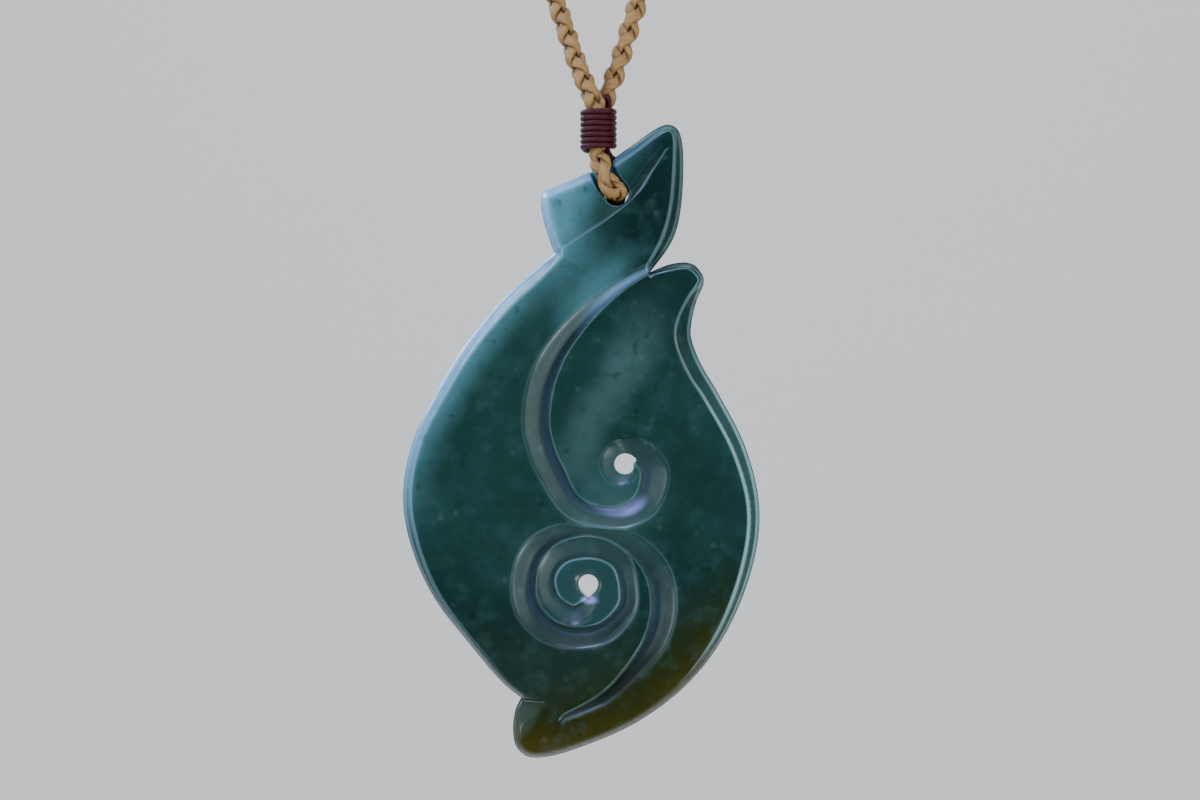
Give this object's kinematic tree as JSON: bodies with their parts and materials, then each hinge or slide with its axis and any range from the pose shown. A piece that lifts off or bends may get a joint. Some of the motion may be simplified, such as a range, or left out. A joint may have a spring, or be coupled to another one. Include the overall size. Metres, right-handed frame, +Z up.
{
  "type": "fish-hook pendant on a neck cord",
  "caption": "Polished greenstone fish-hook pendant with two carved spirals, hung by a bound loop of plaited neck cord.",
  "frame": {"origin": "underside of the nape binding, where the cord rests on the back of the neck or on a peg", "axes": "+Z up with the pendant hanging below, -Y the way that the carved face looks, +X to its right as seen from the front"},
  "size_m": [0.1068, 0.1555, 0.2837],
  "materials": {
    "greenstone": "polished, slightly translucent nephrite, teal with milky blue and olive zones",
    "plaited_cord": "waxed tan plait, satin",
    "binding_thread": "waxed burgundy thread, satin"
  },
  "bodies": {
    "root": {"hook_stone": "greenstone", "neck_cord": "plaited_cord", "front_binding": "binding_thread", "nape_binding": "binding_thread"}
  },
  "joints": []
}
